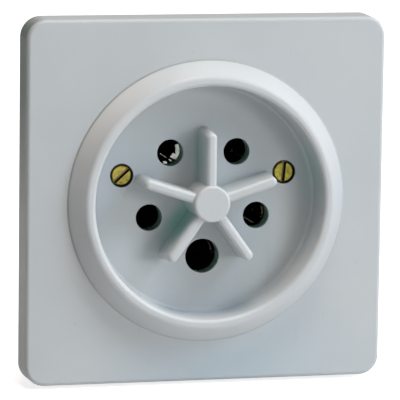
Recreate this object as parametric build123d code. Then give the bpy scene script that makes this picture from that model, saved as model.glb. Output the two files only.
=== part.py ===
from build123d import *

import os
from math import cos, radians, sin, tan

# Flush-mounted five-pin socket for round pins, as it sits on a wall.
# Everything is modelled lying on the wall: x to the right, y up the wall, z out of it,
# with z = 0 on the wall. The last step stands it up, so that it faces -Y with +Z up.
# Lengths are in millimetres, angles in degrees.

# Cover plate: a square frame, hollow behind
plate_side = 95.0
plate_depth = 8.5
plate_wall = 2.4
plate_corner_radius = 5.3
plate_draft = 2.0
plate_edge_radius = 1.0
plate_rib_thickness = 2.0
plate_web_thickness = 1.4

# Collar of the insert, which stands on the cover plate's face
collar_height = 5.4
collar_crest_width = 2.3
collar_slope_run = 3.7
collar_foot_step = 0.5
collar_inner_radius = 1.0
collar_outer_radius = 1.4
collar_foot_sink = 0.5
skirt_thickness = 5.2
core_groove_width = 1.6
core_groove_wall = 2.0

# Floor of the recess inside the collar
floor_diameter = 59.4
floor_sink = 3.9
floor_thickness = 2.5
floor_corner_radius = 0.9
recess_draft = 4.0

# Star between the pin holes
arm_width = 3.0
arm_reach = 19.0
arm_height = 9.6
arm_draft = 1.0
arm_tip_draft = 4.5
arm_top_radius = 1.0
hub_diameter = 9.9
hub_height = 10.5
hub_draft = 1.0
hub_top_radius = 0.7
hub_core_radius = 2.6
hub_core_roof = 2.2

# Pins of the plug that fits, and where they stand
pin_circle_diameter = 30.0
pin_diameter = 6.0
earth_pin_diameter = 8.0
pin_pitch_angle = 72.0
pin_hole_clearance = 0.5
pin_boss_wall = 1.8

# Split contact sleeves and the ring springs round them
sleeve_wall = 1.1
earth_sleeve_wall = 1.2
sleeve_bore_depth = 16.5
sleeve_base_thickness = 1.5
sleeve_slit_width = 0.7
sleeve_slit_depth = 12.0
sleeve_mouth_chamfer = 0.4
stem_radius = 1.9
stem_engagement = 2.5
spring_thickness = 0.7
spring_width = 3.0
spring_setback = 2.6
spring_gap = 1.6
spring_gap_angle = 45.0
spring_groove_depth = 0.35

# Pillar terminals and the screws that clamp the wires
terminal_width = 8.0
terminal_depth = 9.0
terminal_length = 10.5
terminal_edge = 0.5
wire_bore_radius = 2.1
wire_bore_place = 5.3
wire_window_radius = 3.0
clamp_screw_radius = 1.95
clamp_head_radius = 3.0
clamp_head_height = 2.2
clamp_screw_slack = 1.0
first_clamp_slot_angle = 25.0
clamp_slot_turn = 40.0

# Carrier of the contacts
carrier_flange_rim = 0.7
carrier_flange_thickness = 7.0
carrier_barrel_wall = 2.7
carrier_web_thickness = 2.0
carrier_rear_cover = 0.5
carrier_edge = 0.8
peg_radius = 2.2
peg_height = 5.0
bush_boss_length = 3.2
bush_boss_wall = 1.6

# Mounting plate of steel sheet
mounting_side = 80.0
mounting_thickness = 1.2
mounting_corner_radius = 4.0
mounting_opening_gap = 0.7
slot_pitch = 60.0
slot_width = 4.2
slot_length = 8.0

# Cover screws and the bushes that take them
screw_spread = 43.2
screw_rise = 6.5
screw_head_radius = 2.6
screw_head_height = 2.0
screw_head_recess = 0.3
screw_shank_radius = 1.45
screw_length = 11.0
screw_edge = 0.25
screw_slot_width = 1.1
screw_slot_depth = 0.9
left_slot_angle = 42.0
right_slot_angle = 85.0
bush_flats = 5.5
bush_length = 7.5

# Rivets and the earth tag
rivet_radius = 1.5
rivet_head_radius = 2.3
rivet_head_height = 0.6
rivet_opening_rim = 1.0
rivet_tail_radius = 2.2
rivet_tail_height = 0.9
rivet_edge = 0.3
rivet_grip = 4.2
tag_thickness = 0.8
tag_ring_width = 2.0
tag_tongue_width = 6.4

# Clearances
seam = 0.25
rest_gap = 0.3
thread_clearance = 0.05
sleeve_clearance = 0.3
block_clearance = 0.2
spring_clearance = 0.05
head_clearance = 0.45
shank_clearance = 0.25

# How far a cut runs on past the face that it opens
cut_run = 1.0

# Levels out of the wall, worked out from the sizes above
face = plate_depth
floor_top = face - floor_sink
floor_back = floor_top - floor_thickness
boss_end = rest_gap
skirt_end = mounting_thickness + rest_gap
foot_seat = face - collar_foot_sink
crest = face + collar_height
head_seat = floor_top - screw_head_recess - screw_head_height
sleeve_front = -rest_gap
sleeve_bore_end = sleeve_front - sleeve_bore_depth
sleeve_base = sleeve_bore_end - sleeve_base_thickness
terminal_front = sleeve_base - carrier_web_thickness
terminal_back = terminal_front - terminal_length
wire_level = terminal_front - wire_bore_place
stem_end = terminal_front - stem_engagement
clamp_head_seat = terminal_back - clamp_screw_slack
carrier_back = clamp_head_seat - clamp_head_height - carrier_rear_cover

# Radii and places, worked out from the sizes above
mouth_radius = floor_diameter / 2 + (collar_height + floor_sink) * tan(radians(recess_draft))
foot_radius = mouth_radius + collar_crest_width + collar_slope_run
skirt_radius = floor_diameter / 2 + skirt_thickness
plate_opening_radius = skirt_radius + rest_gap
pin_circle_radius = pin_circle_diameter / 2
largest_boss_radius = max(pin_diameter, earth_pin_diameter) / 2 + pin_hole_clearance + pin_boss_wall
mounting_opening_radius = pin_circle_radius + largest_boss_radius + mounting_opening_gap
rivet_circle_radius = mounting_opening_radius + rivet_opening_rim + rivet_head_radius
carrier_flange_radius = rivet_circle_radius + rivet_tail_radius + rest_gap + carrier_flange_rim
carrier_barrel_radius = pin_circle_radius + terminal_depth / 2 + block_clearance + carrier_barrel_wall
screw_places = [(-screw_spread / 2, screw_rise), (screw_spread / 2, screw_rise)]
rivet_places = [(0, rivet_circle_radius), (0, -rivet_circle_radius)]
star_first_angle = 90.0
earth_angle = -90.0


class Pole:
    """One contact of the socket: its name, its angle round the pin circle and the sizes that differ."""

    def __init__(self, prefix, suffix, angle, pin, wall):
        self.prefix = prefix
        self.suffix = suffix
        self.angle = angle
        self.pin_radius = pin / 2
        self.hole_radius = self.pin_radius + pin_hole_clearance
        self.sleeve_radius = self.pin_radius + wall
        self.groove_radius = self.sleeve_radius - spring_groove_depth
        self.spring_inner = self.groove_radius + spring_clearance
        self.spring_outer = self.spring_inner + spring_thickness
        self.pocket_radius = self.spring_outer + sleeve_clearance
        self.x = pin_circle_radius * cos(radians(angle))
        self.y = pin_circle_radius * sin(radians(angle))

    def node(self, piece):
        """Name of this pole's own piece, such as phase_sleeve_1."""
        return self.prefix + "_" + piece + self.suffix

    def place(self, shape):
        """Put a piece modelled on the z axis, with +x away from the socket's middle, at this pole."""
        return Pos(self.x, self.y, 0) * Rot(0, 0, self.angle) * shape


poles = [
    Pole("phase", "_1", earth_angle + 2 * pin_pitch_angle, pin_diameter, sleeve_wall),
    Pole("phase", "_2", earth_angle + 3 * pin_pitch_angle, pin_diameter, sleeve_wall),
    Pole("phase", "_3", earth_angle + 4 * pin_pitch_angle, pin_diameter, sleeve_wall),
    Pole("neutral", "", earth_angle + pin_pitch_angle, pin_diameter, sleeve_wall),
    Pole("earth", "", earth_angle, earth_pin_diameter, earth_sleeve_wall),
]


def rod(radius, low, high, x=0.0, y=0.0):
    """Cylinder along z between two levels."""
    return Pos(x, y, low) * Cylinder(radius, high - low, align=(Align.CENTER, Align.CENTER, Align.MIN))


def block(width, depth, low, high):
    """Box about the z axis between two levels."""
    return Pos(0, 0, low) * Box(width, depth, high - low, align=(Align.CENTER, Align.CENTER, Align.MIN))


def turned(corners):
    """Solid of revolution about z. Each corner is (radius, level, rounding)."""
    points = [(radius, level) for radius, level, rounding in corners]
    roundings = [rounding for radius, level, rounding in corners]
    section = make_face(FilletPolyline(*points, radius=roundings, close=True))
    return revolve(Plane.XZ * section, Axis.Z)


def tapered_square(side, corner_radius, low, high, draft):
    """Square block with rounded corners that narrows from low to high."""
    outline = Plane.XY.offset(low) * RectangleRounded(side, side, corner_radius)
    return extrude(outline, high - low, taper=draft)


def edges_at(shape, level):
    """Edges that lie wholly at one level."""
    return [e for e in shape.edges() if all(abs(v.Z - level) < 1e-4 for v in e.vertices())]


def cover_plate():
    """Square frame: drafted sides, a rounded front edge, a seat for the collar and ribs behind."""
    plate = tapered_square(plate_side, plate_corner_radius, 0, face, plate_draft)
    plate = fillet(edges_at(plate, face), plate_edge_radius)
    inner_side = plate_side - 2 * plate_wall
    inner_radius = plate_corner_radius - plate_wall
    ceiling = face - plate_wall
    hollow = tapered_square(inner_side, inner_radius, 0, ceiling, plate_draft)
    ring_radius = plate_opening_radius + plate_rib_thickness
    ring = rod(ring_radius, mounting_thickness, face - plate_wall / 2)
    for quarter in range(4):
        web_length = inner_side / 2 - ring_radius + plate_wall
        web = Pos(ring_radius + web_length / 2 - plate_wall / 4, 0, 0) * block(
            web_length, plate_web_thickness, skirt_end, ceiling + plate_wall / 4
        )
        ring += Rot(0, 0, 90 * quarter) * web
    frame_side = plate_side - plate_wall
    frame = tapered_square(frame_side, inner_radius + plate_wall / 2, 0, face - plate_wall / 2, plate_draft)
    plate = plate - hollow + (ring & frame)
    plate -= rod(plate_opening_radius, -cut_run, face + cut_run)
    plate -= rod(foot_radius + seam, foot_seat, face + cut_run)
    return plate


def collar_section():
    """Corners of the insert's turned form: floor, recess wall, collar, foot and skirt."""
    groove_radius = skirt_radius - core_groove_wall
    return [
        (0, floor_back, 0),
        (0, floor_top, 0),
        (floor_diameter / 2, floor_top, floor_corner_radius),
        (mouth_radius, crest, collar_inner_radius),
        (mouth_radius + collar_crest_width, crest, collar_outer_radius),
        (foot_radius, face + collar_foot_step, 0),
        (foot_radius, foot_seat, 0),
        (skirt_radius, foot_seat, 0),
        (skirt_radius, skirt_end, 0),
        (groove_radius, skirt_end, 0),
        (groove_radius, floor_top, 0),
        (groove_radius - core_groove_width, floor_top, 0),
        (groove_radius - core_groove_width, floor_back, 0),
    ]


def star_arm():
    """One arm of the star, from the middle to its rounded tip, narrowing and shortening upwards."""
    foot = floor_top - floor_thickness / 2
    top = floor_top + arm_height
    outlines = []
    for level in (foot, top):
        width = arm_width - 2 * (level - foot) * tan(radians(arm_draft))
        reach = arm_reach - (level - foot) * tan(radians(arm_tip_draft))
        outline = SlotOverall(reach + width / 2, width)
        outlines.append(Plane.XY.offset(level) * Pos((reach - width / 2) / 2, 0) * outline)
    arm = loft(outlines)
    return fillet(edges_at(arm, top), arm_top_radius)


def star_hub():
    """Round middle of the star, a little higher than the arms."""
    foot = floor_top - floor_thickness / 2
    top = floor_top + hub_height
    hub = extrude(Plane.XY.offset(foot) * Circle(hub_diameter / 2), top - foot, taper=hub_draft)
    return fillet(edges_at(hub, top), hub_top_radius)


def socket_insert():
    """Collar, floor and star in one moulding, with the pin holes and the screw counterbores."""
    insert = turned(collar_section())
    boss_root = floor_back + floor_thickness / 2
    for pole in poles:
        insert += rod(pole.hole_radius + pin_boss_wall, boss_end, boss_root, pole.x, pole.y)
    bore_radius = screw_head_radius + head_clearance
    for x, y in screw_places:
        insert += rod(bore_radius + pin_boss_wall, skirt_end, boss_root, x, y)
    arm = star_arm()
    for turn in range(5):
        insert += Rot(0, 0, star_first_angle + pin_pitch_angle * turn) * arm
    insert += star_hub()
    for pole in poles:
        insert -= rod(pole.hole_radius, boss_end - cut_run, floor_top + cut_run, pole.x, pole.y)
    for x, y in screw_places:
        insert -= rod(bore_radius, head_seat, floor_top + cut_run, x, y)
        insert -= rod(screw_shank_radius + shank_clearance, 0, floor_top, x, y)
    insert -= rod(hub_core_radius, 0, floor_top + hub_height - hub_core_roof)
    return insert


def mounting_plate():
    """Steel sheet with an opening for the contacts, notches for the cover screws and four slots."""
    outline = RectangleRounded(mounting_side, mounting_side, mounting_corner_radius)
    sheet = extrude(outline, mounting_thickness)
    high = mounting_thickness + cut_run
    sheet -= rod(mounting_opening_radius, -cut_run, high)
    for x, y in screw_places:
        sheet -= rod(screw_shank_radius + 2 * shank_clearance, -cut_run, high, x, y)
    for x, y in rivet_places:
        sheet -= rod(rivet_radius + thread_clearance, -cut_run, high, x, y)
    slot = extrude(SlotOverall(slot_length, slot_width), mounting_thickness)
    for x in (-slot_pitch / 2, slot_pitch / 2):
        for y in (-slot_pitch / 2, slot_pitch / 2):
            sheet -= Pos(x, y, 0) * slot
    return sheet


def earth_tag_plan(margin):
    """Outline of the earth tag, grown by a margin: a ring round the earth sleeve and a tongue."""
    pole = poles[-1]
    ring_radius = pole.sleeve_radius + sleeve_clearance + tag_ring_width + margin
    reach = rivet_circle_radius - pin_circle_radius
    ring = Pos(pole.x, pole.y) * Circle(ring_radius)
    tongue = Pos(0, pole.y - reach / 2) * Rectangle(tag_tongue_width + 2 * margin, reach)
    end = Pos(0, -rivet_circle_radius) * Circle(tag_tongue_width / 2 + margin)
    return ring + tongue + end


def earth_tag():
    """Brass strip under the mounting plate, from the earth sleeve to a rivet."""
    pole = poles[-1]
    tag = extrude(Plane.XY.offset(-tag_thickness) * earth_tag_plan(0), tag_thickness)
    low = -tag_thickness - cut_run
    tag -= rod(pole.sleeve_radius + thread_clearance, low, cut_run, pole.x, pole.y)
    tag -= rod(rivet_radius + thread_clearance, low, cut_run, 0, -rivet_circle_radius)
    return tag


def contact_carrier():
    """Moulded body behind the mounting plate, with a pocket and a terminal chamber for each contact."""
    body = turned(
        [
            (0, carrier_back, 0),
            (0, 0, 0),
            (carrier_flange_radius, 0, 0),
            (carrier_flange_radius, carrier_edge - carrier_flange_thickness, 0),
            (carrier_flange_radius - carrier_edge, -carrier_flange_thickness, 0),
            (carrier_barrel_radius, -carrier_flange_thickness, 0),
            (carrier_barrel_radius, carrier_back + carrier_edge, 0),
            (carrier_barrel_radius - carrier_edge, carrier_back, 0),
        ]
    )
    peg_foot = -carrier_flange_thickness / 2
    body += rod(peg_radius, peg_foot, peg_height)
    hexagon_radius = bush_flats / 2 + block_clearance / 2
    boss_radius = hexagon_radius / cos(radians(30)) + bush_boss_wall
    boss_back = -carrier_flange_thickness - bush_boss_length
    for x, y in screw_places:
        body += rod(boss_radius, boss_back, peg_foot, x, y)
    for x, y in screw_places:
        pocket = Pos(x, y, -bush_length - rest_gap) * RegularPolygon(hexagon_radius, 6, major_radius=False)
        body -= extrude(pocket, bush_length + rest_gap + cut_run)
        body -= rod(screw_shank_radius + shank_clearance, boss_back - cut_run, 0, x, y)
    flange_back = -carrier_flange_thickness
    for x, y in rivet_places:
        body -= rod(rivet_radius + thread_clearance, flange_back - cut_run, cut_run, x, y)
        body -= rod(rivet_tail_radius + rest_gap, flange_back - cut_run, -rivet_grip, x, y)
    chamber_depth = terminal_depth + 2 * block_clearance
    chamber_width = terminal_width + 2 * block_clearance
    for pole in poles:
        pocket = rod(pole.pocket_radius, sleeve_base, cut_run)
        stem_hole = rod(stem_radius + thread_clearance, terminal_front - cut_run, 0)
        chamber = block(chamber_depth, chamber_width, carrier_back - cut_run, terminal_front)
        window_length = carrier_barrel_radius - pin_circle_radius + cut_run
        window = Pos(0, 0, wire_level) * Rot(0, 90, 0) * rod(wire_window_radius, 0, window_length)
        body -= pole.place(pocket + stem_hole + chamber + window)
    tag_recess = Plane.XY.offset(-tag_thickness) * earth_tag_plan(block_clearance)
    body -= extrude(tag_recess, tag_thickness + cut_run)
    return body


def sleeve(pole):
    """Turned brass sleeve: slit crosswise from the mouth, with a spring groove and a stem behind."""
    mouth = sleeve_front - sleeve_mouth_chamfer
    groove_front = sleeve_front - spring_setback
    groove_back = groove_front - spring_width - spring_clearance
    body = turned(
        [
            (0, sleeve_bore_end, 0),
            (pole.pin_radius, sleeve_bore_end, 0),
            (pole.pin_radius, mouth, 0),
            (pole.pin_radius + sleeve_mouth_chamfer, sleeve_front, 0),
            (pole.sleeve_radius, sleeve_front, 0),
            (pole.sleeve_radius, groove_front, 0),
            (pole.groove_radius, groove_front, 0),
            (pole.groove_radius, groove_back, 0),
            (pole.sleeve_radius, groove_back, 0),
            (pole.sleeve_radius, sleeve_base, 0),
            (stem_radius, sleeve_base, 0),
            (stem_radius, stem_end, 0),
            (0, stem_end, 0),
        ]
    )
    slit_end = sleeve_front - sleeve_slit_depth
    slit = block(2 * pole.sleeve_radius + cut_run, sleeve_slit_width, slit_end, sleeve_front + cut_run)
    body -= slit
    body -= Rot(0, 0, 90) * slit
    return pole.place(body)


def spring(pole):
    """Open steel ring in the sleeve's groove, its gap turned away from the slits."""
    high = sleeve_front - spring_setback - spring_clearance / 2
    low = high - spring_width
    ring = rod(pole.spring_outer, low, high) - rod(pole.spring_inner, low - cut_run, high + cut_run)
    gap = block(2 * pole.spring_outer, spring_gap, low - cut_run, high + cut_run)
    return pole.place(Rot(0, 0, spring_gap_angle) * (ring - Pos(pole.spring_outer, 0, 0) * gap))


def terminal(pole):
    """Brass pillar: a cross bore for the wire, a tapped hole behind, the sleeve's stem in front."""
    pillar = block(terminal_depth, terminal_width, terminal_back, terminal_front)
    pillar = chamfer(pillar.edges().filter_by(Axis.Z), terminal_edge)
    pillar -= Pos(0, 0, wire_level) * Rot(0, 90, 0) * rod(wire_bore_radius, -terminal_depth, terminal_depth)
    pillar -= rod(clamp_screw_radius + thread_clearance, terminal_back - cut_run, wire_level)
    stem_hole_end = stem_end - thread_clearance
    pillar -= rod(stem_radius + thread_clearance, stem_hole_end, terminal_front + cut_run)
    return pole.place(pillar)


def slotted_screw(head_radius, head_height, shank_radius, shank_length, slot_width, slot_depth, slot_angle):
    """Cheese-head screw with its seat at z = 0, its shank below and a straight slot across the head."""
    body = turned(
        [
            (0, -shank_length, 0),
            (shank_radius - screw_edge, -shank_length, 0),
            (shank_radius, -shank_length + screw_edge, 0),
            (shank_radius, 0, 0),
            (head_radius, 0, 0),
            (head_radius, head_height - screw_edge, 0),
            (head_radius - screw_edge, head_height, 0),
            (0, head_height, 0),
        ]
    )
    slot_floor = head_height - slot_depth
    slot = block(2 * head_radius + cut_run, slot_width, slot_floor, head_height + cut_run)
    return body - Rot(0, 0, slot_angle) * slot


def clamp_screw(pole, slot_angle):
    """Screw that clamps the wire in its pillar, driven from behind and backed off for the wire."""
    tip = wire_level - wire_bore_radius
    screw = slotted_screw(
        clamp_head_radius,
        clamp_head_height,
        clamp_screw_radius,
        tip - clamp_head_seat,
        screw_slot_width,
        screw_slot_depth,
        slot_angle,
    )
    return pole.place(Pos(0, 0, clamp_head_seat) * Rot(180, 0, 0) * screw)


def cover_screw(place, slot_angle):
    """Brass screw that holds the insert, its head sunk in the floor's counterbore."""
    screw = slotted_screw(
        screw_head_radius,
        screw_head_height,
        screw_shank_radius,
        screw_length,
        screw_slot_width,
        screw_slot_depth,
        slot_angle,
    )
    return Pos(place[0], place[1], head_seat) * screw


def screw_bush(place):
    """Hexagon bush in the carrier, tapped for a cover screw."""
    low = -rest_gap - bush_length
    hexagon = RegularPolygon(bush_flats / 2, 6, major_radius=False)
    body = extrude(Plane.XY.offset(low) * hexagon, bush_length)
    body -= rod(screw_shank_radius + thread_clearance, low - cut_run, 0)
    return Pos(place[0], place[1], 0) * body


def rivet(place):
    """Rivet through the mounting plate and the carrier's flange, closed behind."""
    low = -rivet_grip - rivet_tail_height
    high = mounting_thickness + rivet_head_height
    body = turned(
        [
            (0, low, 0),
            (rivet_tail_radius - rivet_edge, low, 0),
            (rivet_tail_radius, low + rivet_edge, 0),
            (rivet_tail_radius, -rivet_grip, 0),
            (rivet_radius, -rivet_grip, 0),
            (rivet_radius, mounting_thickness, 0),
            (rivet_head_radius, mounting_thickness, 0),
            (rivet_head_radius, high - rivet_edge, 0),
            (rivet_head_radius - rivet_edge, high, 0),
            (0, high, 0),
        ]
    )
    return Pos(place[0], place[1], 0) * body


pieces = {
    "cover_plate": cover_plate(),
    "socket_insert": socket_insert(),
    "mounting_plate": mounting_plate(),
    "contact_carrier": contact_carrier(),
    "earth_tag": earth_tag(),
    "cover_screw_left": cover_screw(screw_places[0], left_slot_angle),
    "cover_screw_right": cover_screw(screw_places[1], right_slot_angle),
    "screw_bush_left": screw_bush(screw_places[0]),
    "screw_bush_right": screw_bush(screw_places[1]),
    "carrier_rivets": Compound([rivet(place) for place in rivet_places]),
}
for number, pole in enumerate(poles):
    pieces[pole.node("sleeve")] = sleeve(pole)
    pieces[pole.node("spring")] = spring(pole)
    pieces[pole.node("terminal")] = terminal(pole)
    pieces[pole.node("clamp_screw")] = clamp_screw(pole, first_clamp_slot_angle + clamp_slot_turn * number)

os.makedirs("parts", exist_ok=True)
upright = Rot(90, 0, 0)
for name, shape in pieces.items():
    export_step(upright * shape, os.path.join("parts", name + ".step"))
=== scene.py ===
"""Looks of a flush-mounted five-pin wall socket: finishes, dust in the seam, lamps and camera.

Lengths are in metres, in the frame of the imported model: +X right, +Z up the wall, the socket
faces -Y and the wall is at y = 0.
"""

import logging
from dataclasses import dataclass
from enum import Enum
from math import cos, pi, radians, sin
from typing import ClassVar

import bmesh
import bpy
from mathutils import Matrix, Vector


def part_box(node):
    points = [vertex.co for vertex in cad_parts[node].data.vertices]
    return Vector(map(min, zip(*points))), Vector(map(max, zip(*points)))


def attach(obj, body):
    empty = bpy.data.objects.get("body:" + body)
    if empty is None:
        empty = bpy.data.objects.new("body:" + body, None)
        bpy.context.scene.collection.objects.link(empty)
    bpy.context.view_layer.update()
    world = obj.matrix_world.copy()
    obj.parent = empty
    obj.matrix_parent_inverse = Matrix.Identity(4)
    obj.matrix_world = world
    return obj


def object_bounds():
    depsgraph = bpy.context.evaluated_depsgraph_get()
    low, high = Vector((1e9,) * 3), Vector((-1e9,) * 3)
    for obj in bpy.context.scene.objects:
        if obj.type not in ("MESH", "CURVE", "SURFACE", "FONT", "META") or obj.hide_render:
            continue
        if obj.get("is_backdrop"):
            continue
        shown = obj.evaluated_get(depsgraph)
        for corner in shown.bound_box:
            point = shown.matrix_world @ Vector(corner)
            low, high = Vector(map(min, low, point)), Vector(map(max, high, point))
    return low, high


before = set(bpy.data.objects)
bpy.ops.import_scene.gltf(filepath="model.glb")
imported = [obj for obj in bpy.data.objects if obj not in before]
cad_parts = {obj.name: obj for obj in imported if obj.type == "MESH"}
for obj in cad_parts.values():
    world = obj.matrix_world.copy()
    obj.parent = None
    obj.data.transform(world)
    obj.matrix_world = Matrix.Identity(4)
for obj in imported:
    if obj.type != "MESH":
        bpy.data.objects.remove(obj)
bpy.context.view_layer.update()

PHOTO_SIDE_PX = 400.0
SENSOR_MM = 36.0

log = logging.getLogger("socket")

Colour = tuple[float, float, float]
Triple = tuple[float, float, float]
Socket = bpy.types.NodeSocket

EVEN: Triple = (1.0, 1.0, 1.0)
ACROSS_Y: Triple = (1.0, 0.0, 1.0)
ORIGIN: Triple = (0.0, 0.0, 0.0)
WHITE = (1.0, 1.0, 1.0, 1.0)

PHASES = 3
COVER_SCREWS = ("cover_screw_left", "cover_screw_right")
SLEEVE_WALL = 0.0011
EARTH_SLEEVE_WALL = 0.0012


def linear(red: int, green: int, blue: int) -> Colour:
    """Turn a display colour of 0 to 255 a channel into the linear values that shaders take.

    Args:
        red: Red, 0 to 255.
        green: Green, 0 to 255.
        blue: Blue, 0 to 255.

    Returns:
        The three linear channels, 0 to 1.
    """
    shown = (channel / 255.0 for channel in (red, green, blue))
    return tuple(c / 12.92 if c <= 0.04045 else ((c + 0.055) / 1.055) ** 2.4 for c in shown)


def pole_names(piece: str) -> list[str]:
    """Name one kind of piece at all the poles.

    Args:
        piece: The kind, such as sleeve.

    Returns:
        The node names.
    """
    phases = [f"phase_{piece}_{number + 1}" for number in range(PHASES)]
    return [*phases, f"neutral_{piece}", f"earth_{piece}"]


@dataclass(frozen=True)
class RoundPiece:
    """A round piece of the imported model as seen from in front: its middle, its radius and its front."""

    x: float
    z: float
    radius: float
    front: float

    @classmethod
    def of(cls, node: str) -> "RoundPiece":
        """Measure the piece by its box.

        Args:
            node: The piece's name.

        Returns:
            Its measures.
        """
        low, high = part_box(node)
        return cls((low.x + high.x) / 2, (low.z + high.z) / 2, (high.x - low.x) / 2, low.y)


def sleeve_bore(node: str) -> float:
    """Radius of a contact sleeve's bore."""
    wall = EARTH_SLEEVE_WALL if node == "earth_sleeve" else SLEEVE_WALL
    return RoundPiece.of(node).radius - wall


def plate_centre() -> Vector:
    """Middle of the cover plate's face, which the camera and the lamps look at."""
    return Vector((0.0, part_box("cover_plate")[0].y, 0.0))


def outwards(azimuth_deg: float, elevation_deg: float) -> Vector:
    """Find the direction from the plate's middle to a place outside.

    Args:
        azimuth_deg: Turn to the right of the socket's axis.
        elevation_deg: Angle above the level.

    Returns:
        The direction, of length 1.
    """
    turn, lift = radians(azimuth_deg), radians(elevation_deg)
    return Vector((sin(turn) * cos(lift), -cos(turn) * cos(lift), sin(lift)))


def add_object(name: str, data: bpy.types.ID) -> bpy.types.Object:
    """Add an object to the scene.

    Args:
        name: Its name.
        data: Its mesh, lamp or camera.

    Returns:
        The new object.
    """
    added = bpy.data.objects.new(name, data)
    bpy.context.scene.collection.objects.link(added)
    return added


class NodeTree:
    """A node tree, with short calls for the nodes that the looks use."""

    def __init__(self, tree: bpy.types.NodeTree) -> None:
        """Start with an empty tree.

        Args:
            tree: The tree to fill.
        """
        self.tree = tree
        tree.nodes.clear()

    def add(self, kind: str, **values: object) -> bpy.types.Node:
        """Add a node and set its properties.

        Args:
            kind: Blender's type name of the node.
            **values: Properties of the node by name.

        Returns:
            The new node.
        """
        node = self.tree.nodes.new(kind)
        for name, value in values.items():
            setattr(node, name, value)
        return node

    def link(self, source: Socket, target: Socket) -> None:
        """Join an output to an input."""
        self.tree.links.new(source, target)

    def fill(self, node: bpy.types.Node, values: tuple[Socket | float | Triple, ...]) -> None:
        """Feed a node's inputs in their order.

        Args:
            node: The node.
            values: For each input an output to join, or a plain value.
        """
        for target, value in zip(node.inputs, values):
            if isinstance(value, Socket):
                self.link(value, target)
            else:
                target.default_value = value

    def number(self, operation: str, *values: Socket | float) -> Socket:
        """Reckon with numbers.

        Args:
            operation: Blender's name of the operation.
            *values: The inputs.

        Returns:
            The result.
        """
        node = self.add("ShaderNodeMath", operation=operation)
        self.fill(node, values)
        return node.outputs[0]

    def vector(self, operation: str, *values: Socket | Triple) -> Socket:
        """Reckon with vectors.

        Args:
            operation: Blender's name of the operation.
            *values: The inputs.

        Returns:
            The resulting vector, or the number for a length and a dot product.
        """
        node = self.add("ShaderNodeVectorMath", operation=operation)
        self.fill(node, values)
        return node.outputs["Value" if operation in ("LENGTH", "DOT_PRODUCT") else "Vector"]

    def product(self, first: Socket, second: Socket) -> Socket:
        """Multiply two values."""
        return self.number("MULTIPLY", first, second)

    def larger(self, first: Socket | None, second: Socket) -> Socket:
        """Take the larger of two values, or the second where there is no first yet."""
        return second if first is None else self.number("MAXIMUM", first, second)

    def ramp(self, value: Socket, low: float, high: float) -> Socket:
        """Spread a span of values over 0 to 1, held at both ends.

        Args:
            value: The value.
            low: What turns into 0.
            high: What turns into 1, which may be the lower of the two.

        Returns:
            The result, 0 to 1.
        """
        node = self.add("ShaderNodeMapRange")
        node.inputs["From Min"].default_value = low
        node.inputs["From Max"].default_value = high
        self.link(value, node.inputs["Value"])
        return node.outputs["Result"]

    def scaled(self, value: Socket, low: float, high: float) -> Socket:
        """Spread a value of 0 to 1 over a span.

        Args:
            value: The value.
            low: What 0 turns into.
            high: What 1 turns into.

        Returns:
            The result, low to high.
        """
        node = self.add("ShaderNodeMapRange")
        node.inputs["To Min"].default_value = low
        node.inputs["To Max"].default_value = high
        self.link(value, node.inputs["Value"])
        return node.outputs["Result"]

    def blend(self, share: Socket, first: Socket | Colour, second: Colour) -> Socket:
        """Mix two colours.

        Args:
            share: How much of the second colour, 0 to 1.
            first: A colour, or a colour output.
            second: The other colour.

        Returns:
            The mixed colour.
        """
        node = self.add("ShaderNodeMix", data_type="RGBA")
        self.link(share, node.inputs["Factor"])
        if isinstance(first, tuple):
            node.inputs["A"].default_value = (*first, 1.0)
        else:
            self.link(first, node.inputs["A"])
        node.inputs["B"].default_value = (*second, 1.0)
        return node.outputs["Result"]


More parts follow.
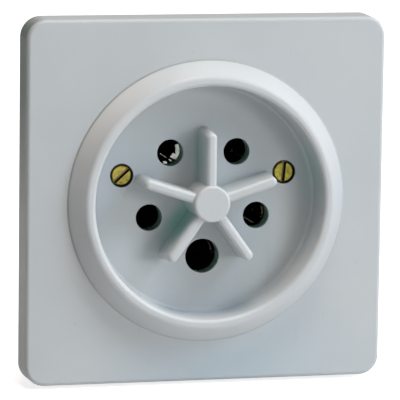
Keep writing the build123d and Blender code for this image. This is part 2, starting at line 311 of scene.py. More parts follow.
class NodeGraph(NodeTree):
    """The node tree of one material, with its surface shader."""

    bevel_samples: ClassVar[int] = 4
    flat_edge: ClassVar[float] = 0.999
    sharp_edge: ClassVar[float] = 0.93

    def __init__(self, name: str) -> None:
        """Start a material with a surface shader and an output.

        Args:
            name: The material's name.
        """
        self.material = bpy.data.materials.new(name)
        self.material.use_nodes = True
        super().__init__(self.material.node_tree)
        self.shader = self.add("ShaderNodeBsdfPrincipled")
        output = self.add("ShaderNodeOutputMaterial")
        self.link(self.shader.outputs["BSDF"], output.inputs["Surface"])
        self.place = self.add("ShaderNodeTexCoord").outputs["Object"]

    def drive(self, name: str, value: Socket) -> None:
        """Join an output to the shader's input of that name."""
        self.link(value, self.shader.inputs[name])

    def keep(self, name: str, value: float | tuple[float, ...]) -> None:
        """Set the shader's input of that name to one value all over."""
        self.shader.inputs[name].default_value = value

    def moved(self, scale: Triple, offset: Triple = ORIGIN) -> Socket:
        """Stretch and shift the place on the object.

        Args:
            scale: Factor along each axis.
            offset: Point that becomes the origin before the stretch.

        Returns:
            The new place, as a vector output.
        """
        return self.vector("MULTIPLY", self.vector("SUBTRACT", self.place, offset), scale)

    def parts(self, vector: Socket) -> bpy.types.bpy_prop_collection:
        """Split a vector.

        Args:
            vector: The vector.

        Returns:
            Its outputs X, Y and Z by name.
        """
        node = self.add("ShaderNodeSeparateXYZ")
        self.link(vector, node.inputs[0])
        return node.outputs

    def depth(self, start: float, full: float) -> Socket:
        """Share that grows from 0 at one place along y to 1 at another."""
        return self.ramp(self.parts(self.place)["Y"], start, full)

    def from_axis(self, x: float, z: float) -> Socket:
        """Distance from the line along y through a point of the front."""
        return self.vector("LENGTH", self.moved(ACROSS_Y, (x, 0.0, z)))

    def edges(self, radius: float) -> Socket:
        """Find the edges of the object.

        Args:
            radius: How far from an edge the value reaches.

        Returns:
            A value near 1 on sharp edges and near 0 on flat faces.
        """
        bevel = self.add("ShaderNodeBevel", samples=self.bevel_samples)
        bevel.inputs["Radius"].default_value = radius
        normal = self.add("ShaderNodeNewGeometry").outputs["Normal"]
        turned = self.vector("DOT_PRODUCT", bevel.outputs["Normal"], normal)
        return self.ramp(turned, self.flat_edge, self.sharp_edge)

    def bump(self, heights: list[tuple[Socket, float]], distance: float) -> None:
        """Stack height maps into the shader's normal.

        Args:
            heights: Height outputs, each with its strength.
            distance: Height in metres that a value of 1 stands for.
        """
        normal = None
        for height, strength in heights:
            node = self.add("ShaderNodeBump")
            node.inputs["Strength"].default_value = strength
            node.inputs["Distance"].default_value = distance
            self.link(height, node.inputs["Height"])
            if normal is not None:
                self.link(normal, node.inputs["Normal"])
            normal = node.outputs["Normal"]
        self.drive("Normal", normal)

    def turn_face(self, share: Socket, facing: Triple) -> None:
        """Lean the shader's normal towards a direction, so that a painted glint mirrors a lamp there.

        Args:
            share: How far it leans, 0 to 1.
            facing: The direction that it faces when the share is 1.
        """
        upright = self.shader.inputs["Normal"].links[0].from_socket
        mix = self.add("ShaderNodeMix", data_type="VECTOR")
        self.link(share, mix.inputs["Factor"])
        self.link(upright, mix.inputs["A"])
        mix.inputs["B"].default_value = facing
        self.drive("Normal", self.vector("NORMALIZE", mix.outputs["Result"]))


@dataclass(frozen=True)
class Noise:
    """Cloudy noise, by how many blotches fit in a metre, its finer octaves and its stretch."""

    per_metre: float
    detail: float
    stretch: Triple = EVEN

    def spread(self, graph: NodeGraph) -> Socket:
        """Spread the noise over the object.

        Args:
            graph: The material's graph.

        Returns:
            The noise, 0 to 1.
        """
        node = graph.add("ShaderNodeTexNoise")
        node.inputs["Scale"].default_value = self.per_metre
        node.inputs["Detail"].default_value = self.detail
        graph.link(graph.moved(self.stretch), node.inputs["Vector"])
        return node.outputs["Fac"]


@dataclass(frozen=True)
class Mottle:
    """Patches cut out of noise, by the values where they start and are full, and their strength."""

    noise: Noise
    start: float
    full: float
    strength: float = 1.0

    def share(self, graph: NodeGraph) -> Socket:
        """Share of the patches over the object.

        Args:
            graph: The material's graph.

        Returns:
            The share, 0 to the strength.
        """
        patches = graph.ramp(self.noise.spread(graph), self.start, self.full)
        return graph.scaled(patches, 0.0, self.strength)


@dataclass(frozen=True)
class ShadedHole:
    """A hole whose wall gets painted shade, from just under its mouth inwards."""

    x: float
    z: float
    radius: float
    mouth: float
    reach: float
    shade_colour: Colour
    rim: float = 0.0003
    strength: float = 0.9

    def share(self, graph: NodeGraph) -> Socket:
        """Share of the painted shade on the wall of the hole.

        Args:
            graph: The material's graph.

        Returns:
            The share, 0 to the strength.
        """
        across = graph.from_axis(self.x, self.z)
        near = graph.ramp(across, self.radius + self.rim, self.radius + self.rim / 2)
        deep = graph.depth(self.mouth, self.mouth + self.reach)
        return graph.scaled(graph.product(near, deep), 0.0, self.strength)


@dataclass(frozen=True)
class Scuff:
    """A short faint rub mark, by the place of its middle, its half lengths and its turn."""

    x: float
    z: float
    half_length: float
    half_width: float
    turn_deg: float
    full_part: ClassVar[float] = 0.2

    def share(self, graph: NodeGraph) -> Socket:
        """Share of the mark over the moulding.

        Args:
            graph: The material's graph.

        Returns:
            The share, 0 to 1.
        """
        turned = graph.add("ShaderNodeVectorRotate", rotation_type="Y_AXIS")
        graph.link(graph.moved(ACROSS_Y, (self.x, 0.0, self.z)), turned.inputs["Vector"])
        turned.inputs["Angle"].default_value = radians(self.turn_deg)
        stretch = (1.0 / self.half_length, 0.0, 1.0 / self.half_width)
        away = graph.vector("LENGTH", graph.vector("MULTIPLY", turned.outputs[0], stretch))
        return graph.ramp(away, 1.0, self.full_part)


@dataclass(frozen=True)
class ColourPatch(Scuff):
    """A soft patch of its own colour, which fades out forwards, from its foot to its top along y. The
    finishes use it for painted light, painted shade and one bluish tint.
    """

    strength: float
    colour: Colour
    top: float = -0.0137
    foot: float = -0.0105

    def share(self, graph: NodeGraph) -> Socket:
        """Share of the patch over the moulding.

        Args:
            graph: The material's graph.

        Returns:
            The share, 0 to the strength.
        """
        low = graph.depth(self.top, self.foot)
        return graph.scaled(graph.product(super().share(graph), low), 0.0, self.strength)


@dataclass(frozen=True)
class DustAndShadeFilm:
    """A dull film of dust and painted shade that thickens from a clean level towards a dusty, shaded one,
    both measured along y, so the recess darkens deeper in.
    """

    clean: float
    dusty_and_shaded: float
    colour: Colour


@dataclass(frozen=True)
class MouldedFinish:
    """Moulded thermoset with a fine skin, cloudy colour, a film of dust and painted shade, soft patches
    of painted light, painted shade and tint, scuffs, and painted shade in its holes.
    """

    name: str
    colour: Colour
    shade: Colour
    speck: Colour
    roughness: float
    roughness_spread: float
    grain_per_metre: float
    grain_height: float
    specular: float = 0.35
    ior: float = 1.5
    film: DustAndShadeFilm | None = None
    scuffs: tuple[Scuff, ...] = ()
    scuff_share: float = 0.3
    light_shade_and_tint_patches: tuple[ColourPatch, ...] = ()
    clouds: Mottle = Mottle(Noise(38.0, 4.0), 0.3, 0.7)
    specks: Mottle = Mottle(Noise(1900.0, 2.0), 0.70, 0.76, 0.35)
    streaks: Mottle = Mottle(Noise(260.0, 3.0, (1.0, 1.0, 0.16)), 0.66, 0.74, 0.10)
    wipes: Noise = Noise(120.0, 5.0, (1.0, 1.0, 0.45))
    waves: Noise = Noise(90.0, 2.0)
    grain_detail: float = 2.0
    grain_strength: float = 0.5
    wave_strength: float = 0.25

    def material(self, holes: tuple[ShadedHole, ...] = ()) -> bpy.types.Material:
        """Build the material.

        Args:
            holes: The holes with painted shade on their walls.

        Returns:
            The new material.
        """
        graph = NodeGraph(self.name)
        colour = graph.blend(self.clouds.share(graph), self.colour, self.shade)
        colour = graph.blend(self.specks.share(graph), colour, self.speck)
        if self.film is not None:
            colour = graph.blend(graph.depth(self.film.clean, self.film.dusty_and_shaded), colour, self.film.colour)
        colour = graph.blend(self.streaks.share(graph), colour, self.speck)
        # Soft patches: painted light, painted shade and a bluish tint.
        for patch in self.light_shade_and_tint_patches:
            colour = graph.blend(patch.share(graph), colour, patch.colour)
        for scuff in self.scuffs:
            faint = graph.scaled(scuff.share(graph), 0.0, self.scuff_share)
            colour = graph.blend(faint, colour, self.speck)
        # Painted shade on the walls of the holes.
        for hole in holes:
            colour = graph.blend(hole.share(graph), colour, hole.shade_colour)
        graph.drive("Base Color", colour)
        low = self.roughness - self.roughness_spread
        high = self.roughness + self.roughness_spread
        graph.drive("Roughness", graph.scaled(self.wipes.spread(graph), low, high))
        graph.keep("IOR", self.ior)
        graph.keep("Specular IOR Level", self.specular)
        grain = Noise(self.grain_per_metre, self.grain_detail).spread(graph)
        heights = [(grain, self.grain_strength), (self.waves.spread(graph), self.wave_strength)]
        graph.bump(heights, self.grain_height)
        return graph.material


class ToolMarks(Enum):
    """How a metal surface was worked, with the noise of its marks."""

    TURNED = Noise(2600.0, 2.0, (1.0, 6.0, 1.0))
    ROLLED = Noise(900.0, 3.0, (1.0, 1.0, 14.0))
    PLATED = Noise(1500.0, 3.0)


@dataclass(frozen=True)
class WorkedSkin:
    """The smudged gloss and the tool marks of a metal surface."""

    marks: ToolMarks
    roughness_low: float
    roughness_high: float
    smudges: Noise = Noise(700.0, 4.0)
    mark_strength: float = 0.35
    smudge_strength: float = 0.2
    height: float = 0.00004

    def lay(self, graph: NodeGraph) -> None:
        """Set the shader's roughness and normal.

        Args:
            graph: The material's graph.
        """
        smudge = self.smudges.spread(graph)
        graph.drive("Roughness", graph.scaled(smudge, self.roughness_low, self.roughness_high))
        heights = [(self.marks.value.spread(graph), self.mark_strength), (smudge, self.smudge_strength)]
        graph.bump(heights, self.height)


@dataclass(frozen=True)
class SlotLightAndShade:
    """The slot of a screw head: a paler brownish floor as painted light, with dark dirt and painted shade
    along its lower right wall.

    The slot runs at an angle that counts anticlockwise from the right, as seen from in front.
    """

    x: float
    z: float
    turn_deg: float
    head_face: float
    reach: float
    # Painted light: the slot floor, paler and brownish.
    paler: Colour = linear(164, 138, 106)
    paler_share: float = 0.55
    # Dark dirt with painted shade along the lower right wall.
    dirt_and_shade: Colour = linear(30, 12, 4)
    dirt_and_shade_from: float = 0.0
    dirt_and_shade_full: float = -0.00025
    skin: float = 0.00012

    def share(self, graph: NodeGraph) -> Socket:
        """Share of the slot over the screw.

        Args:
            graph: The material's graph.

        Returns:
            The share, 0 to 1.
        """
        inside = graph.ramp(graph.from_axis(self.x, self.z), self.reach, self.reach - self.skin)
        return graph.product(inside, graph.depth(self.head_face, self.head_face + 2 * self.skin))

    def dirt_and_shade_side(self, graph: NodeGraph) -> Socket:
        """Share of the dirt and painted shade across the slot.

        Args:
            graph: The material's graph.

        Returns:
            The share, 0 to 1.
        """
        turn = radians(self.turn_deg)
        place = graph.moved(ACROSS_Y, (self.x, 0.0, self.z))
        upper_left = graph.vector("DOT_PRODUCT", place, (-sin(turn), 0.0, cos(turn)))
        return graph.ramp(upper_left, self.dirt_and_shade_from, self.dirt_and_shade_full)


@dataclass(frozen=True)
class MetalFinish:
    """Bare or plated metal with tool marks, tarnish and bright worn edges."""

    name: str
    colour: Colour
    tarnish: Colour
    roughness: float
    marks: ToolMarks
    patches: Mottle = Mottle(Noise(420.0, 5.0), 0.35, 0.72, 0.5)
    edge_radius: float = 0.00012
    edge_share: float = 0.6
    edge_gain: float = 1.25
    smooth_gain: float = 0.75
    rough_gain: float = 1.35
    slot_specular: float = 0.1

    def material(self, slots: tuple[SlotLightAndShade, ...] = ()) -> bpy.types.Material:
        """Build the material.

        Args:
            slots: Slots with painted light on their floor, and dirt and painted shade along one wall.

        Returns:
            The new material.
        """
        graph = NodeGraph(self.name)
        colour = graph.blend(self.patches.share(graph), self.colour, self.tarnish)
        bright = tuple(min(1.0, self.edge_gain * channel) for channel in self.colour)
        paler = graph.scaled(graph.edges(self.edge_radius), 0.0, self.edge_share)
        colour = graph.blend(paler, colour, bright)
        slot_paint = None
        for slot in slots:
            share = slot.share(graph)
            colour = graph.blend(graph.scaled(share, 0.0, slot.paler_share), colour, slot.paler)
            colour = graph.blend(graph.product(share, slot.dirt_and_shade_side(graph)), colour, slot.dirt_and_shade)
            slot_paint = graph.larger(slot_paint, share)
        graph.drive("Base Color", colour)
        # Inside a slot the metal turns matte, so its painted light and shade show.
        if slot_paint is None:
            graph.keep("Metallic", 1.0)
        else:
            graph.drive("Metallic", graph.scaled(slot_paint, 1.0, 0.0))
            graph.keep("Specular IOR Level", self.slot_specular)
        low, high = self.roughness * self.smooth_gain, min(1.0, self.roughness * self.rough_gain)
        WorkedSkin(self.marks, low, high).lay(graph)
        return graph.material


@dataclass(frozen=True)
class GlintArc:
    """A stretch of a sleeve's mouth or bore that holds a painted glint.

    The angles run anticlockwise from the right, as the socket is seen from in front. The inner and
    outer radius are counted from the bore, and the start and end from the mouth inwards.
    """

    centre_deg: float
    half_width_deg: float
    inner: float
    outer: float
    start: float = 0.0
    end: float = 0.0009


@dataclass(frozen=True)
class SleevePlace:
    """Where a point lies on a sleeve: the turn round its axis, the distances from axis and mouth."""

    turn: Socket
    across: Socket
    inwards: Socket
    bore: float


@dataclass(frozen=True)
class ContactFinish:
    """Brass contact sleeve: aged outside, near black in the bore as tarnish and painted shade, and
    painted glints in arcs where it has any.
    """

    name: str
    glint: Colour | None = None
    arcs: tuple[GlintArc, ...] = ()
    brass: Colour = linear(190, 160, 88)
    aged: Colour = linear(128, 100, 50)
    # Near black in the bore: tarnish and painted shade.
    tarnish_and_shade: Colour = linear(12, 10, 8)
    # Painted glints face the camera and the fill lamp beside it, so that they mirror that lamp.
    facing: Triple = (-0.249, -0.956, 0.155)
    arc_edge_deg: float = 3.0
    edge: float = 0.00012
    patches: Mottle = Mottle(Noise(420.0, 5.0), 0.35, 0.72)
    gaps: Mottle = Mottle(Noise(1500.0, 2.0), 0.26, 0.34)
    skin: WorkedSkin = WorkedSkin(ToolMarks.TURNED, 0.22, 0.42)

    def material(self, node: str) -> bpy.types.Material:
        """Build the material for one sleeve.

        Args:
            node: The sleeve's name.

        Returns:
            The new material.
        """
        sleeve = RoundPiece.of(node)
        bore = sleeve_bore(node)
        wall_middle = (bore + sleeve.radius) / 2
        graph = NodeGraph(f"{self.name}_{node}")
        across = graph.from_axis(sleeve.x, sleeve.z)
        parts = graph.parts(graph.moved(EVEN, (sleeve.x, sleeve.front, sleeve.z)))
        turn = graph.number("ARCTAN2", parts["Z"], parts["X"])
        place = SleevePlace(turn, across, parts["Y"], bore)
        colour = graph.blend(self.patches.share(graph), self.brass, self.aged)
        # The bore and the inner half of the mouth: tarnish and painted shade.
        colour = graph.blend(graph.ramp(across, wall_middle + self.edge, wall_middle), colour, self.tarnish_and_shade)
        glint = None
        for arc in self.arcs:
            glint = graph.larger(glint, self.arc_share(graph, place, arc))
        if glint is not None:
            glint = graph.product(self.gaps.share(graph), glint)
            colour = graph.blend(glint, colour, self.glint)
        graph.drive("Base Color", colour)
        graph.keep("Metallic", 1.0)
        self.skin.lay(graph)
        if glint is not None:
            graph.turn_face(glint, self.facing)
        return graph.material

    def arc_share(self, graph: NodeGraph, place: SleevePlace, arc: GlintArc) -> Socket:
        """Share of the painted glint over one arc, with a soft edge.

        Args:
            graph: The material's graph.
            place: Where a point lies on the sleeve.
            arc: The arc.

        Returns:
            The share, 0 to 1.
        """
        away = graph.number("SUBTRACT", place.turn, radians(arc.centre_deg))
        away = graph.number("ABSOLUTE", graph.number("WRAP", away, pi, -pi))
        half, soft = radians(arc.half_width_deg), radians(self.arc_edge_deg)
        share = graph.ramp(away, half + soft, half)
        limits = (
            (place.across, place.bore + arc.inner, -self.edge),
            (place.across, place.bore + arc.outer, self.edge),
            (place.inwards, arc.start, -self.edge),
            (place.inwards, arc.end, self.edge),
        )
        for measure, full, edge in limits:
            share = graph.product(share, graph.ramp(measure, full + edge, full))
        return share


# Greenish painted shade for the shaded sides of two arms and the recess's right wall.
GREEN_PAINTED_SHADE = linear(126, 184, 171)


@dataclass(frozen=True)
class Finishes:
    """Every finish of the socket."""

    plate: MouldedFinish = MouldedFinish(
        name="grey_plate_moulding",
        colour=linear(199, 203, 206),
        shade=linear(193, 198, 201),
        speck=linear(166, 171, 173),
        roughness=0.42,
        roughness_spread=0.07,
        grain_per_metre=2400.0,
        grain_height=0.00002,
        specular=0.25,
        scuffs=(
            Scuff(-0.0040, 0.0385, 0.0004, 0.0003, 20.0),
            Scuff(0.0220, 0.0383, 0.0007, 0.0002, 80.0),
            Scuff(-0.0344, -0.0311, 0.0006, 0.0004, -30.0),
            Scuff(0.0318, -0.0308, 0.0006, 0.0003, 50.0),
            Scuff(0.0405, -0.0172, 0.0005, 0.0003, 0.0),
            Scuff(-0.0147, -0.0421, 0.0008, 0.0002, 10.0),
        ),
        light_shade_and_tint_patches=(
            # A bluish, slightly darker tint towards the plate's lower edge.
            ColourPatch(0.0080, -0.0440, 0.0440, 0.0170, 8.0, 0.7, linear(187, 201, 209)),
            # Painted shade: the upper part of the plate's left side, darker and greyish green.
            ColourPatch(-0.0475, 0.0400, 0.0550, 0.0050, 90.0, 1.0, linear(126, 140, 137), -0.0078, -0.0068),
        ),
    )
    insert: MouldedFinish = MouldedFinish(
        name="grey_insert_moulding",
        colour=linear(206, 210, 213),
        shade=linear(200, 204, 207),
        speck=linear(158, 164, 166),
        roughness=0.36,
        roughness_spread=0.06,
        grain_per_metre=2400.0,
        grain_height=0.00002,
        # Dust and painted shade: the recess grows darker deeper in.
        film=DustAndShadeFilm(-0.0125, -0.0046, linear(188, 194, 197)),
        scuffs=(
            Scuff(-0.0247, 0.0096, 0.0003, 0.0003, 0.0),
            Scuff(-0.0224, -0.0087, 0.0005, 0.0002, 5.0),
            Scuff(-0.0226, -0.0075, 0.0004, 0.0002, 5.0),
        ),
        light_shade_and_tint_patches=(
            # Greenish painted shade beside the lower left arm and the upper arm, and on the recess's
            # right wall.
            ColourPatch(-0.0064, -0.0052, 0.0095, 0.0037, 54.0, 0.75, GREEN_PAINTED_SHADE),
            ColourPatch(-0.0017, 0.0110, 0.0085, 0.0014, 90.0, 0.45, GREEN_PAINTED_SHADE),
            ColourPatch(0.0283, 0.0085, 0.0120, 0.0045, 100.0, 0.32, GREEN_PAINTED_SHADE),
            # Painted light: the collar's upper left slope, paler and warmer.
            ColourPatch(-0.0253, 0.0253, 0.0240, 0.0060, 45.0, 0.6, linear(224, 223, 223), -0.0160, -0.0150),
            # Painted light on the recess floor at the lower left, and painted shade at its upper right.
            ColourPatch(-0.0150, -0.0185, 0.0150, 0.0090, -45.0, 0.8, linear(202, 209, 213), -0.0075, -0.0060),
            ColourPatch(0.0120, 0.0200, 0.0220, 0.0140, -35.0, 0.8, linear(173, 180, 183), -0.0075, -0.0060),
        ),
    )
    carrier: MouldedFinish = MouldedFinish(
        name="dark_carrier_moulding",
        colour=linear(44, 40, 38),
        shade=linear(34, 31, 30),
        speck=linear(84, 74, 64),
        roughness=0.5,
        roughness_spread=0.1,
        grain_per_metre=1500.0,
        grain_height=0.00003,
    )
    brass_screw: MetalFinish = MetalFinish(
        name="brass_screw_turned",
        colour=linear(186, 172, 88),
        tarnish=linear(108, 98, 40),
        roughness=0.4,
        marks=ToolMarks.TURNED,
        patches=Mottle(Noise(900.0, 5.0), 0.35, 0.72, 0.85),
    )
    dull_screw: MetalFinish = MetalFinish(
        name="brass_screw_dull",
        colour=linear(168, 158, 74),
        tarnish=linear(96, 90, 34),
        roughness=0.42,
        marks=ToolMarks.TURNED,
        patches=Mottle(Noise(900.0, 5.0), 0.35, 0.72, 0.9),
    )
    sleeve: ContactFinish = ContactFinish(name="dark_contact_brass")
    # Painted glints: near white patches in the upper left pin hole.
    bright_glint_sleeve: ContactFinish = ContactFinish(
        name="bright_glint_contact_brass",
        glint=linear(146, 150, 144),
        arcs=(
            GlintArc(-8.0, 34.0, -0.0002, 0.0006),
            GlintArc(2.0, 18.0, -0.0002, 0.0002, 0.0, 0.0017),
            GlintArc(-38.0, 13.0, -0.0002, 0.0002, 0.0, 0.0038),
            GlintArc(-55.0, 12.0, -0.0002, 0.0002, 0.0, 0.0020),
            GlintArc(-60.0, 3.0, -0.0002, 0.0002, 0.0052, 0.0125),
            GlintArc(267.0, 8.0, 0.0, 0.0005),
        ),
    )
    # Faint painted glints at the neutral and the earth sleeves' mouths.
    faint_glint_sleeve: ContactFinish = ContactFinish(
        name="faint_glint_contact_brass",
        glint=linear(56, 52, 38),
        arcs=(
            GlintArc(0.0, 28.0, -0.0002, 0.0002, 0.0, 0.0005),
            GlintArc(-75.0, 4.0, -0.0002, 0.0002, 0.0010, 0.0120),
        ),
    )
    faint_glint_earth_sleeve: ContactFinish = ContactFinish(
        name="faint_glint_earth_brass",
        glint=linear(52, 46, 44),
        arcs=(GlintArc(20.0, 25.0, -0.0002, 0.0002, 0.0010, 0.0022),),
    )
    brass: MetalFinish = MetalFinish(
        name="contact_brass_turned",
        colour=linear(214, 184, 102),
        tarnish=linear(150, 118, 58),
        roughness=0.28,
        marks=ToolMarks.TURNED,
    )
    zinc: MetalFinish = MetalFinish(
        name="zinc_plated_sheet",
        colour=linear(196, 198, 200),
        tarnish=linear(150, 154, 152),
        roughness=0.36,
        marks=ToolMarks.ROLLED,
    )
    steel: MetalFinish = MetalFinish(
        name="plated_screw_steel",
        colour=linear(190, 190, 184),
        tarnish=linear(140, 138, 130),
        roughness=0.3,
        marks=ToolMarks.PLATED,
    )
    spring: MetalFinish = MetalFinish(
        name="hardened_spring_steel",
        colour=linear(140, 144, 150),
        tarnish=linear(92, 92, 96),
        roughness=0.3,
        marks=ToolMarks.ROLLED,
    )


def dress(node: str, material: bpy.types.Material) -> None:
    """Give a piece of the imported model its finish.

    Args:
        node: The piece's name.
        material: The finish.
    """
    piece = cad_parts[node]
    piece.data.materials.clear()
    piece.data.materials.append(material)
    log.info("dressed %s in %s", node, material.name)


@dataclass
class Housing:
    """The cover plate and the insert, the two grey mouldings that show on the wall."""

    finishes: Finishes
    screw_recess: float = 0.0003
    pin_hole_gap: float = 0.0005
    screw_hole_gap: float = 0.00045
    # Painted shade on the pin holes' walls, greenish and darker deeper in; near black painted shade in
    # the gaps round the cover screws.
    pin_hole_shade: Colour = linear(108, 150, 128)
    pin_hole_shade_reach: float = 0.0018
    screw_gap_shade: Colour = linear(16, 18, 12)
    screw_rim: float = 0.00012

    def floor_front(self) -> float:
        """Place of the recess floor's face, just in front of the sunk screw heads."""
        return RoundPiece.of(COVER_SCREWS[0]).front - self.screw_recess

    def pin_hole(self, sleeve: str) -> ShadedHole:
        """Find a pin hole from the sleeve behind it.

        Args:
            sleeve: The sleeve's name.

        Returns:
            The hole.
        """
        piece = RoundPiece.of(sleeve)
        radius = sleeve_bore(sleeve) + self.pin_hole_gap
        mouth = self.floor_front()
        return ShadedHole(piece.x, piece.z, radius, mouth, self.pin_hole_shade_reach, self.pin_hole_shade)

    def screw_hole(self, screw: str) -> ShadedHole:
        """Find the counterbore of a cover screw.

        Args:
            screw: The screw's name.

        Returns:
            The hole.
        """
        piece = RoundPiece.of(screw)
        radius = piece.radius + self.screw_hole_gap
        reach = self.screw_recess
        mouth = self.floor_front() - reach / 2
        return ShadedHole(piece.x, piece.z, radius, mouth, reach, self.screw_gap_shade, self.screw_rim)

    def build(self) -> None:
        """Dress the cover plate and the insert."""
        dress("cover_plate", self.finishes.plate.material())
        holes = [self.pin_hole(sleeve) for sleeve in pole_names("sleeve")]
        holes += [self.screw_hole(screw) for screw in COVER_SCREWS]
        dress("socket_insert", self.finishes.insert.material(tuple(holes)))


@dataclass(frozen=True)
class DustFinish:
    """Dust pressed into a seam, pale at the lower right, with painted shade that darkens it towards the
    upper left.
    """

    name: str = "packed_seam_dust"
    pale: Colour = linear(188, 192, 195)
    # Painted shade: the dust darkens towards the upper left.
    dark: Colour = linear(168, 171, 170)
    crumb: Colour = linear(176, 179, 180)
    painted_shade_towards: Triple = (-0.57, 0.0, 0.82)
    pale_at: float = -0.005
    dark_at: float = 0.032
    crumbs: Mottle = Mottle(Noise(500.0, 4.0), 0.45, 0.65, 0.5)
    dull_spots: Noise = Noise(900.0, 3.0)
    roughness_low: float = 0.8
    roughness_high: float = 1.0
    specular: float = 0.1
    grain: Noise = Noise(2600.0, 3.0)
    grain_strength: float = 0.6
    grain_height: float = 0.00005

    def material(self) -> bpy.types.Material:
        """Build the material.

        Returns:
            The new material.
        """
        graph = NodeGraph(self.name)
        lean = graph.vector("DOT_PRODUCT", graph.place, self.painted_shade_towards)
        colour = graph.blend(graph.ramp(lean, self.pale_at, self.dark_at), self.pale, self.dark)
        colour = graph.blend(self.crumbs.share(graph), colour, self.crumb)
        graph.drive("Base Color", colour)
        dull = graph.scaled(self.dull_spots.spread(graph), self.roughness_low, self.roughness_high)
        graph.drive("Roughness", dull)
        graph.keep("Specular IOR Level", self.specular)
        graph.bump([(self.grain.spread(graph), self.grain_strength)], self.grain_height)
        return graph.material


@dataclass
class SeamDust:
    """Ring of old dust in the narrow seam between the collar's foot and the cover plate."""

    finish: DustFinish = DustFinish()
    inner: float = 0.03637
    outer: float = 0.03658
    depth: float = 0.00042
    rise: float = 0.0004
    brim: float = 0.00014
    lift: float = 0.00001
    steps: int = 240

    def mesh(self) -> bpy.types.Mesh:
        """Shape the ring as one closed band that slopes from the collar's foot down to the plate.

        Returns:
            The mesh, with its faces outwards.
        """
        face = plate_centre().y
        section = [
            (self.inner, face + self.depth),
            (self.inner, face - self.rise),
            (self.outer + self.brim, face - self.lift),
            (self.outer, face - self.lift),
            (self.outer, face + self.depth),
        ]
        corners, faces = [], []
        for step in range(self.steps):
            turn = 2 * pi * step / self.steps
            corners += [(radius * cos(turn), y, radius * sin(turn)) for radius, y in section]
            here, after = step * len(section), (step + 1) % self.steps * len(section)
            for side in range(len(section)):
                other = (side + 1) % len(section)
                faces.append((here + side, here + other, after + other, after + side))
        mesh = bpy.data.meshes.new("seam_dust")
        mesh.from_pydata(corners, [], faces)
        shell = bmesh.new()
        shell.from_mesh(mesh)
        bmesh.ops.recalc_face_normals(shell, faces=shell.faces)
        shell.to_mesh(mesh)
        shell.free()
        return mesh

    def build(self) -> None:
        """Lay the ring in the seam."""
        mesh = self.mesh()
        mesh.materials.append(self.finish.material())
        ring = add_object("seam_dust", mesh)
        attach(ring, "root")
        log.info("laid %s, %d faces", ring.name, len(mesh.polygons))


@dataclass
class Fixings:
    """Mounting plate, rivets and cover screws."""

    finishes: Finishes
    left_slot_deg: float = 42.0
    right_slot_deg: float = 85.0
    face_skin: float = 0.0001

    def dress_cover_screw(self, node: str, slot_deg: float, finish: MetalFinish) -> None:
        """Give a cover screw its finish, with painted light, painted shade and dirt in its slot.

        Args:
            node: The screw's name.
            slot_deg: Angle of its slot, anticlockwise from the right.
            finish: Its metal.
        """
        screw = RoundPiece.of(node)
        slot = SlotLightAndShade(screw.x, screw.z, slot_deg, screw.front + self.face_skin, screw.radius)
        dress(node, finish.material((slot,)))

    def build(self) -> None:
        """Dress each fixing."""
        left, right = COVER_SCREWS
        self.dress_cover_screw(left, self.left_slot_deg, self.finishes.brass_screw)
        self.dress_cover_screw(right, self.right_slot_deg, self.finishes.dull_screw)
        dress("mounting_plate", self.finishes.zinc.material())
        dress("carrier_rivets", self.finishes.steel.material())


@dataclass
class ContactSet:
    """Carrier, sleeves, springs, terminals and bushes behind the floor."""

    finishes: Finishes

    def sleeve_finish(self, node: str) -> ContactFinish:
        """Choose a sleeve's finish by how its pin hole looks.

        Args:
            node: The sleeve's name.

        Returns:
            The finish.
        """
        finishes = {
            "phase_sleeve_2": self.finishes.bright_glint_sleeve,
            "neutral_sleeve": self.finishes.faint_glint_sleeve,
            "earth_sleeve": self.finishes.faint_glint_earth_sleeve,
        }
        return finishes.get(node, self.finishes.sleeve)

    def build(self) -> None:
        """Dress the carrier and every contact."""
        brass = self.finishes.brass.material()
        steel = self.finishes.steel.material()
        spring = self.finishes.spring.material()
        dress("contact_carrier", self.finishes.carrier.material())
        for node in pole_names("sleeve"):
            dress(node, self.sleeve_finish(node).material(node))
        for node in (*pole_names("terminal"), "screw_bush_left", "screw_bush_right", "earth_tag"):
            dress(node, brass)
        for node in pole_names("clamp_screw"):
            dress(node, steel)
        for node in pole_names("spring"):
            dress(node, spring)


@dataclass
class PhotoCamera:
    """Camera at the photograph's place, above and to the left of the socket's axis."""

    yaw_deg: float = 14.26
    pitch_deg: float = 8.77
    roll_deg: float = 0.8
    distance: float = 0.8781
    pixels_per_metre: float = 3881.4
    aim_right: float = -0.00169
    aim_up: float = 0.00022
    nearest: float = 0.05
    farthest: float = 20.0

    def build(self) -> None:
        """Place the camera."""
        back = outwards(-self.yaw_deg, self.pitch_deg)
        roll = radians(self.roll_deg)
        level = Vector((0, 0, 1)).cross(back).normalized()
        upright = back.cross(level)
        right = cos(roll) * level + sin(roll) * upright
        up = cos(roll) * upright - sin(roll) * level
        target = plate_centre()
        spot = target + self.distance * back + self.aim_right * right + self.aim_up * up
        data = bpy.data.cameras.new("photo_camera")
        data.sensor_width = SENSOR_MM
        data.lens = SENSOR_MM * self.pixels_per_metre * self.distance / PHOTO_SIDE_PX
        data.clip_start, data.clip_end = self.nearest, self.farthest
        camera = add_object("photo_camera", data)
        turn = Matrix((right, up, back)).transposed().to_4x4()
        camera.matrix_world = Matrix.Translation(spot) @ turn
        bpy.context.scene.camera = camera
        log.info("camera at %s with a lens of %.1f mm", tuple(round(v, 3) for v in spot), data.lens)


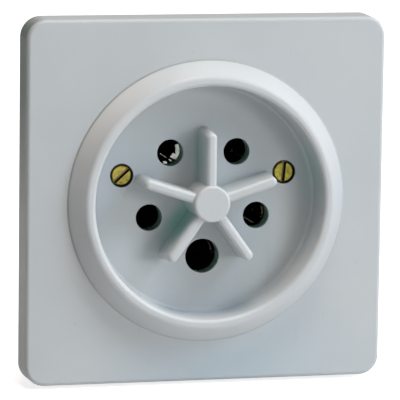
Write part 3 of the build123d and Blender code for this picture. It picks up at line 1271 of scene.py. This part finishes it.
@dataclass(frozen=True)
class Softbox:
    """One square lamp that faces the socket."""

    name: str
    azimuth_deg: float
    elevation_deg: float
    distance: float
    side: float
    watts: float
    tint: Colour = (1.0, 1.0, 1.0)

    def build(self, target: Vector) -> None:
        """Place the lamp.

        Args:
            target: The point that it faces.
        """
        back = outwards(self.azimuth_deg, self.elevation_deg)
        data = bpy.data.lights.new(self.name, "AREA")
        data.shape = "SQUARE"
        data.size = self.side
        data.energy = self.watts
        data.color = self.tint
        lamp = add_object(self.name, data)
        facing = back.to_track_quat("Z", "Y").to_matrix().to_4x4()
        lamp.matrix_world = Matrix.Translation(target + self.distance * back) @ facing
        log.info("lit %s with %.1f W", self.name, self.watts)


def surround_glow(nodes: NodeTree, in_gloss: float) -> Socket:
    """Strength that is full to the camera and through glass, lower in a gloss, and none as light.

    Args:
        nodes: The tree that takes the nodes.
        in_gloss: Strength that a glossy face mirrors.

    Returns:
        The strength.
    """
    path = nodes.add("ShaderNodeLightPath").outputs
    seen = nodes.larger(path["Is Camera Ray"], path["Is Transmission Ray"])
    return nodes.larger(seen, nodes.number("MULTIPLY", path["Is Glossy Ray"], in_gloss))


@dataclass
class Studio:
    """White floor, white surroundings and soft lamps."""

    lamps: tuple[Softbox, ...] = (
        Softbox("key_softbox", 55.0, 38.0, 1.2, 0.5, 5.9, (0.66, 0.85, 1.0)),
        Softbox("side_softbox", 78.0, 12.0, 1.2, 0.4, 3.2, (1.0, 0.84, 0.8)),
        Softbox("top_softbox", 3.0, 76.0, 1.2, 0.5, 9.9, (1.0, 0.91, 0.81)),
        Softbox("front_softbox", 38.0, 6.0, 1.2, 0.4, 3.9),
        Softbox("fill_softbox", -15.0, 9.0, 1.2, 0.25, 0.7),
        Softbox("rear_softbox", 128.0, 4.0, 1.2, 0.5, 5.0),
    )
    floor_gap: float = 0.0006
    floor_side: float = 12.0
    sky_in_gloss: float = 0.336
    floor_in_gloss: float = 0.42
    floor_glow: float = 0.78
    lit_radius: float = 0.15
    far_radius: float = 0.6
    floor_tone: float = 0.68
    floor_mottle: float = 0.96
    floor_roughness: float = 0.9
    paper: Noise = Noise(3.0, 2.0)

    def build(self) -> None:
        """Build the floor, the world and the lamps."""
        target = plate_centre()
        for lamp in self.lamps:
            lamp.build(target)
        self.build_world()
        self.build_floor()
        bpy.context.scene.view_settings.view_transform = "Standard"

    def build_world(self) -> None:
        """White surroundings that the camera and glossy faces see; the lamps give the light."""
        world = bpy.data.worlds.new("studio_world")
        world.use_nodes = True
        nodes = NodeTree(world.node_tree)
        glow = nodes.add("ShaderNodeBackground")
        glow.inputs["Color"].default_value = WHITE
        nodes.link(surround_glow(nodes, self.sky_in_gloss), glow.inputs["Strength"])
        nodes.link(glow.outputs[0], nodes.add("ShaderNodeOutputWorld").inputs["Surface"])
        bpy.context.scene.world = world

    def paper_material(self) -> bpy.types.Material:
        """White paper that glows to the camera, less near the socket, so that it keeps the shadow.

        Returns:
            The new material.
        """
        graph = NodeGraph("studio_floor_paper")
        graph.keep("Roughness", self.floor_roughness)
        graph.keep("Emission Color", WHITE)
        light, dark = (self.floor_tone,) * 3, (self.floor_mottle * self.floor_tone,) * 3
        graph.drive("Base Color", graph.blend(self.paper.spread(graph), light, dark))
        far = graph.ramp(graph.vector("LENGTH", graph.place), self.lit_radius, self.far_radius)
        shown = surround_glow(graph, self.floor_in_gloss)
        graph.drive("Emission Strength", graph.product(graph.scaled(far, self.floor_glow, 1.0), shown))
        return graph.material

    def build_floor(self) -> None:
        """Lay the floor just under the plate."""
        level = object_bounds()[0].z - self.floor_gap
        half = self.floor_side / 2
        mesh = bpy.data.meshes.new("studio_floor")
        corners = [(-half, -half, level), (half, -half, level), (half, half, level), (-half, half, level)]
        mesh.from_pydata(corners, [], [(0, 1, 2, 3)])
        mesh.materials.append(self.paper_material())
        floor = add_object("studio_floor", mesh)
        floor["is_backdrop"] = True
        log.info("laid %s", floor.name)


def main() -> None:
    """Build every sub-assembly, the studio and the camera."""
    logging.basicConfig(level=logging.INFO, format="%(message)s")
    finishes = Finishes()
    Housing(finishes).build()
    SeamDust().build()
    Fixings(finishes).build()
    ContactSet(finishes).build()
    Studio().build()
    PhotoCamera().build()


if __name__ == "__main__":
    main()
